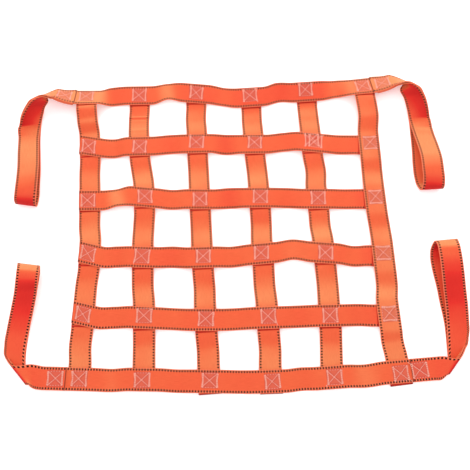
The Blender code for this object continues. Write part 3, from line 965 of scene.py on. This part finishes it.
# %% Places of the stitched boxes
# How far from the middle of the corner's crossing the box that holds each eye is
EYE_BOX_REACH_MM = {"far_left": 57, "far_right": 49, "near_left": 53, "near_right": 47}
# How far each box is off the middle of its crossing, in mm: to the right, and away from the viewer
BOX_SLIDES_MM = (
    ((0, 3), (0, 1), (1, 2), (-2, 7), (-2, 6), (-2, 1)),
    ((-3, -1), (1, -1), (-1, 6), (2, 6), (5, 7), (3, 6)),
    ((-3, 0), (2, 2), (1, 0), (2, 4), (1, 2), (1, 4)),
    ((-4, 1), (-2, 2), (2, 4), (-3, 2), (3, 1), (0, 7)),
    ((-1, 1), (1, 5), (1, 2), (2, 3), (1, 1), (2, 3)),
    ((2, 1), (-4, -1), (1, 3), (3, -1), (5, 1), (2, -4)),
)

# Less shade shows beside the last column than in front of a row
SIDE_SHADE = 1.5 * MM


def place_along(name, place):
    """How far along a strap the point nearest to a place is."""
    sections = paths[name]
    nearest = min(range(len(sections)), key=lambda index: (middle_of(sections[index]) - place).length)
    return lengths_of[name][nearest]


def strap_of_row(row):
    return {FAR_ROW: "border_far", NEAR_ROW: "border_near"}.get(row, f"row_{row + 1}")


boxes = {name: [] for name in paths}
covers = {name: [] for name in paths}
for row in range(6):
    for column in range(6):
        straps = strap_of_row(row), f"column_{column + 1}"
        if column_is_on_top(row, column):
            straps = straps[::-1]
        over, under = [
            place_along(name, crossing_middle(row, column, not name.startswith("column")) - shift)
            for name in straps]
        right, away = [value * MM for value in BOX_SLIDES_MM[row][column]]
        along, across = (-away, -right) if straps[0].startswith("column") else (right, -away)
        boxes[straps[0]].append((over + along, across))
        covers[straps[1]].append((under + (SIDE_SHADE if column_is_on_top(row, column) else 0), 0.0))
for corner, reach in EYE_BOX_REACH_MM.items():
    boxes[f"eye_{corner}"].append(((reach - CUT_REACH_MM[corner]) * MM, 0.0))
print("Boxes of stitches:", sum(len(places) for places in boxes.values()))

# %% Weave every band
bands = {}
for name, sections in paths.items():
    kind = name.split("_")[0]
    eye_finish = webbing_far_eye if "far" in name else webbing_near_eye
    finish = {"column": webbing_away, "eye": eye_finish}.get(kind, webbing_across)
    # The light comes from behind, so a strap is shaded on the near side of what lies over it, and a row
    # on the side where it comes up to the last column
    shaded_side = 1 if kind == "column" else -1
    bands[name] = weave_band(name, sections, finish, boxes[name], covers[name], shaded_side)
print("Bands:", len(bands), "with", sum(len(band.data.polygons) for band in bands.values()), "faces")

# %% [markdown]
# A stitch is a short fat piece of thread that dives into the webbing at both ends. One stitch is
# modelled from a ball, and each seam is a row of its copies. The two sides across the strap are sewn
# over several times, so they show as pale bars. The other two sides and the cross are single rows.

# %% One stitch
STITCH_LENGTH = 3.6 * MM
STITCH_WIDTH = 1.35 * MM
STITCH_HEIGHT = 0.9 * MM

bpy.ops.object.select_all(action="DESELECT")
bpy.ops.mesh.primitive_uv_sphere_add(segments=6, ring_count=4, radius=0.5)
stitch = bpy.context.active_object
bpy.ops.object.mode_set(mode="EDIT")
bpy.ops.mesh.select_all(action="SELECT")
bpy.ops.transform.rotate(value=math.radians(90), orient_axis="Y", center_override=(0, 0, 0))
bpy.ops.transform.resize(value=(STITCH_LENGTH, STITCH_WIDTH, STITCH_HEIGHT), center_override=(0, 0, 0))
bpy.ops.object.mode_set(mode="OBJECT")
stitch_points = [vertex.co.copy() for vertex in stitch.data.vertices]
stitch_faces = [tuple(face.vertices) for face in stitch.data.polygons]
bpy.data.objects.remove(stitch)
print("One stitch:", len(stitch_faces), "faces")

# %% Seams
CLOSE_PITCH, LOOSE_PITCH = 1.06, 1.7
# Share of the boxes that have a loose end of thread at a corner
TAIL_SHARE = 0.4
# The box where the second row crosses the fifth column was sewn twice, side by side
SEWN_TWICE = ("row_2", 4)
TWICE_SLIDES_MM = ((-4.5, 0.5), (5.0, 2.0))


def surface_at(name, length, across):
    """Point and directions of a strap's middle surface: along it, and out of its upper face."""
    sections, lengths = paths[name], lengths_of[name]
    index = max(1, min(len(lengths) - 1, sum(value < length for value in lengths)))
    share = (length - lengths[index - 1]) / (lengths[index] - lengths[index - 1])
    before, after = sections[index - 1], sections[index]
    left, right = before[0].lerp(after[0], share), before[1].lerp(after[1], share)
    along = (middle_of(after) - middle_of(before)).normalized()
    out = along.cross(left - right).normalized()
    return left.lerp(right, 0.5 + across / STRAP_WIDTH), along, out


def seam_lines(luck):
    """Rows of stitches of one box: two end points, in metres from the middle of the box, and the pitch
    of the stitches in their own lengths.
    """
    half_long = luck.uniform(17.4, 19.2) * MM
    half_wide = luck.uniform(15.6, 17.0) * MM
    lines = []
    for side in (-1, 1):
        pinch = luck.uniform(0.8, 2.6) * MM
        for layer in range(5):
            ends = [side * (half_long - layer * 0.9 * MM) + luck.uniform(-0.6, 0.6) * MM
                    for _ in range(2)]
            waist = side * (half_long - pinch - layer * 0.45 * MM) + luck.uniform(-0.3, 0.3) * MM
            lines.append(((ends[0], -half_wide), (waist, 0), CLOSE_PITCH))
            lines.append(((waist, 0), (ends[1], half_wide), CLOSE_PITCH))
        edge = side * half_wide
        lines.append(((-half_long, edge), (half_long, edge), LOOSE_PITCH))
        for slip in (0, luck.uniform(0.3, 0.9) * MM):
            lines.append(((-half_long + slip, -edge), (half_long - 3 * MM + slip, edge), CLOSE_PITCH))
    if luck.random() < TAIL_SHARE:
        corner = (luck.choice((-1, 1)) * half_long, luck.choice((-1, 1)) * half_wide)
        for _ in range(3):
            end = (corner[0] + luck.uniform(-3.4, 3.4) * MM, corner[1] * luck.uniform(1.03, 1.14))
            lines.append((corner, end, CLOSE_PITCH))
            corner = end
    return lines


def sew(name, place, luck, points, faces, slide):
    """Adds the stitches of one box to the points and faces of a strap's thread."""
    length, middle_across = place
    turn = luck.uniform(-0.06, 0.06)
    slide_x, slide_y = (luck.uniform(-1, 1) * MM + value for value in slide)
    slide_y += middle_across
    upper = surface_at(name, length, 0.0)[2]
    facing = 1 if upper.z > 0 else -1
    for (start_x, start_y), (end_x, end_y), pitch in seam_lines(luck):
        run_x, run_y = end_x - start_x, end_y - start_y
        size = math.hypot(run_x, run_y)
        count = max(1, round(size / (STITCH_LENGTH * pitch)))
        for number in range(count):
            share = (number + 0.5) / count
            x, y = start_x + run_x * share, start_y + run_y * share
            x, y = x - y * turn + slide_x, y + x * turn + slide_y + luck.uniform(-0.2, 0.2) * MM
            centre, along, out = surface_at(name, length + x, y)
            out = out * facing
            across = out.cross(along)
            side = -1 if across.dot(surface_at(name, length + x, y + 1 * MM)[0] - centre) < 0 else 1
            run = (along * run_x + across * side * run_y).normalized()
            beside = out.cross(run)
            centre = centre + out * (BAND_THICKNESS / 2 + 0.1 * MM)
            first = len(points)
            points += [centre + run * p.x + beside * p.y + out * p.z for p in stitch_points]
            faces += [tuple(first + corner for corner in face) for face in stitch_faces]


threads = {}
luck = random.Random(11)
for name, places in boxes.items():
    if not places:
        continue
    points, faces = [], []
    for number, place in enumerate(places):
        slides = TWICE_SLIDES_MM if (name, number) == SEWN_TWICE else ((0, 0),)
        for slide in slides:
            sew(name, place, luck, points, faces, (slide[0] * MM, slide[1] * MM))
    mesh = bpy.data.meshes.new(name + "_thread")
    mesh.from_pydata(points, [], faces)
    mesh.update()
    seam = bpy.data.objects.new(name + "_thread", mesh)
    bpy.context.scene.collection.objects.link(seam)
    mesh.materials.append(thread)
    only(seam)
    bpy.ops.object.shade_smooth()
    threads[name] = seam
print("Thread:", len(threads), "pieces,",
      sum(len(seam.data.polygons) for seam in threads.values()), "faces")

# %% [markdown]
# The floor is a plain pale sheet. It reaches well past the camera's view. Two large soft lights stand
# behind the net and above it, and the surroundings are white.

# %% Floor
bpy.ops.object.select_all(action="DESELECT")
bpy.ops.mesh.primitive_plane_add(size=12, location=(0, 0, 0))
floor = bpy.context.active_object
floor.name = "floor"
bpy.ops.object.transform_apply(location=True, rotation=True, scale=True)
floor_finish, _, feed_shader = new_finish("pale_floor")
# Lit a little from below, as a light table, so that the shadows are faint
feed_shader({"Base Color": (0.93, 0.93, 0.93, 1), "Roughness": 0.9, "Specular IOR Level": 0.1,
             "Emission Color": (1, 1, 1, 1), "Emission Strength": 0.28})
floor.data.materials.append(floor_finish)
print("Floor:", [round(v) for v in floor.dimensions], "m")

# %% Light
world = bpy.data.worlds.new("studio")
bpy.context.scene.world = world
world.use_nodes = True
world.node_tree.nodes["Background"].inputs["Color"].default_value = (1, 1, 1, 1)
world.node_tree.nodes["Background"].inputs["Strength"].default_value = 1.0


def soft_box(name, place, size, power):
    """Large soft light that shines at the middle of the net."""
    data = bpy.data.lights.new(name, "AREA")
    data.shape = "RECTANGLE"
    data.size, data.size_y = size
    data.energy = power
    lamp = bpy.data.objects.new(name, data)
    bpy.context.scene.collection.objects.link(lamp)
    lamp.location = place
    lamp.rotation_euler = (-Vector(place)).to_track_quat("-Z", "Y").to_euler()


soft_box("back_box", (0.2, 1.9, 1.35), (2.4, 1.1), 24)
soft_box("top_box", (-0.3, -0.2, 2.4), (2.0, 2.0), 8)
print("Lights: a soft box behind, one above, and pale surroundings")

# %% [markdown]
# Each band takes its solid's place. Bands and threads ride on the one body that the net is.

# %% Ride and replace
for name, band in bands.items():
    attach(band, "root")
    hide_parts(name)
    if name in threads:
        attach(threads[name], "root")
print("Declared", len(bands), "bands")
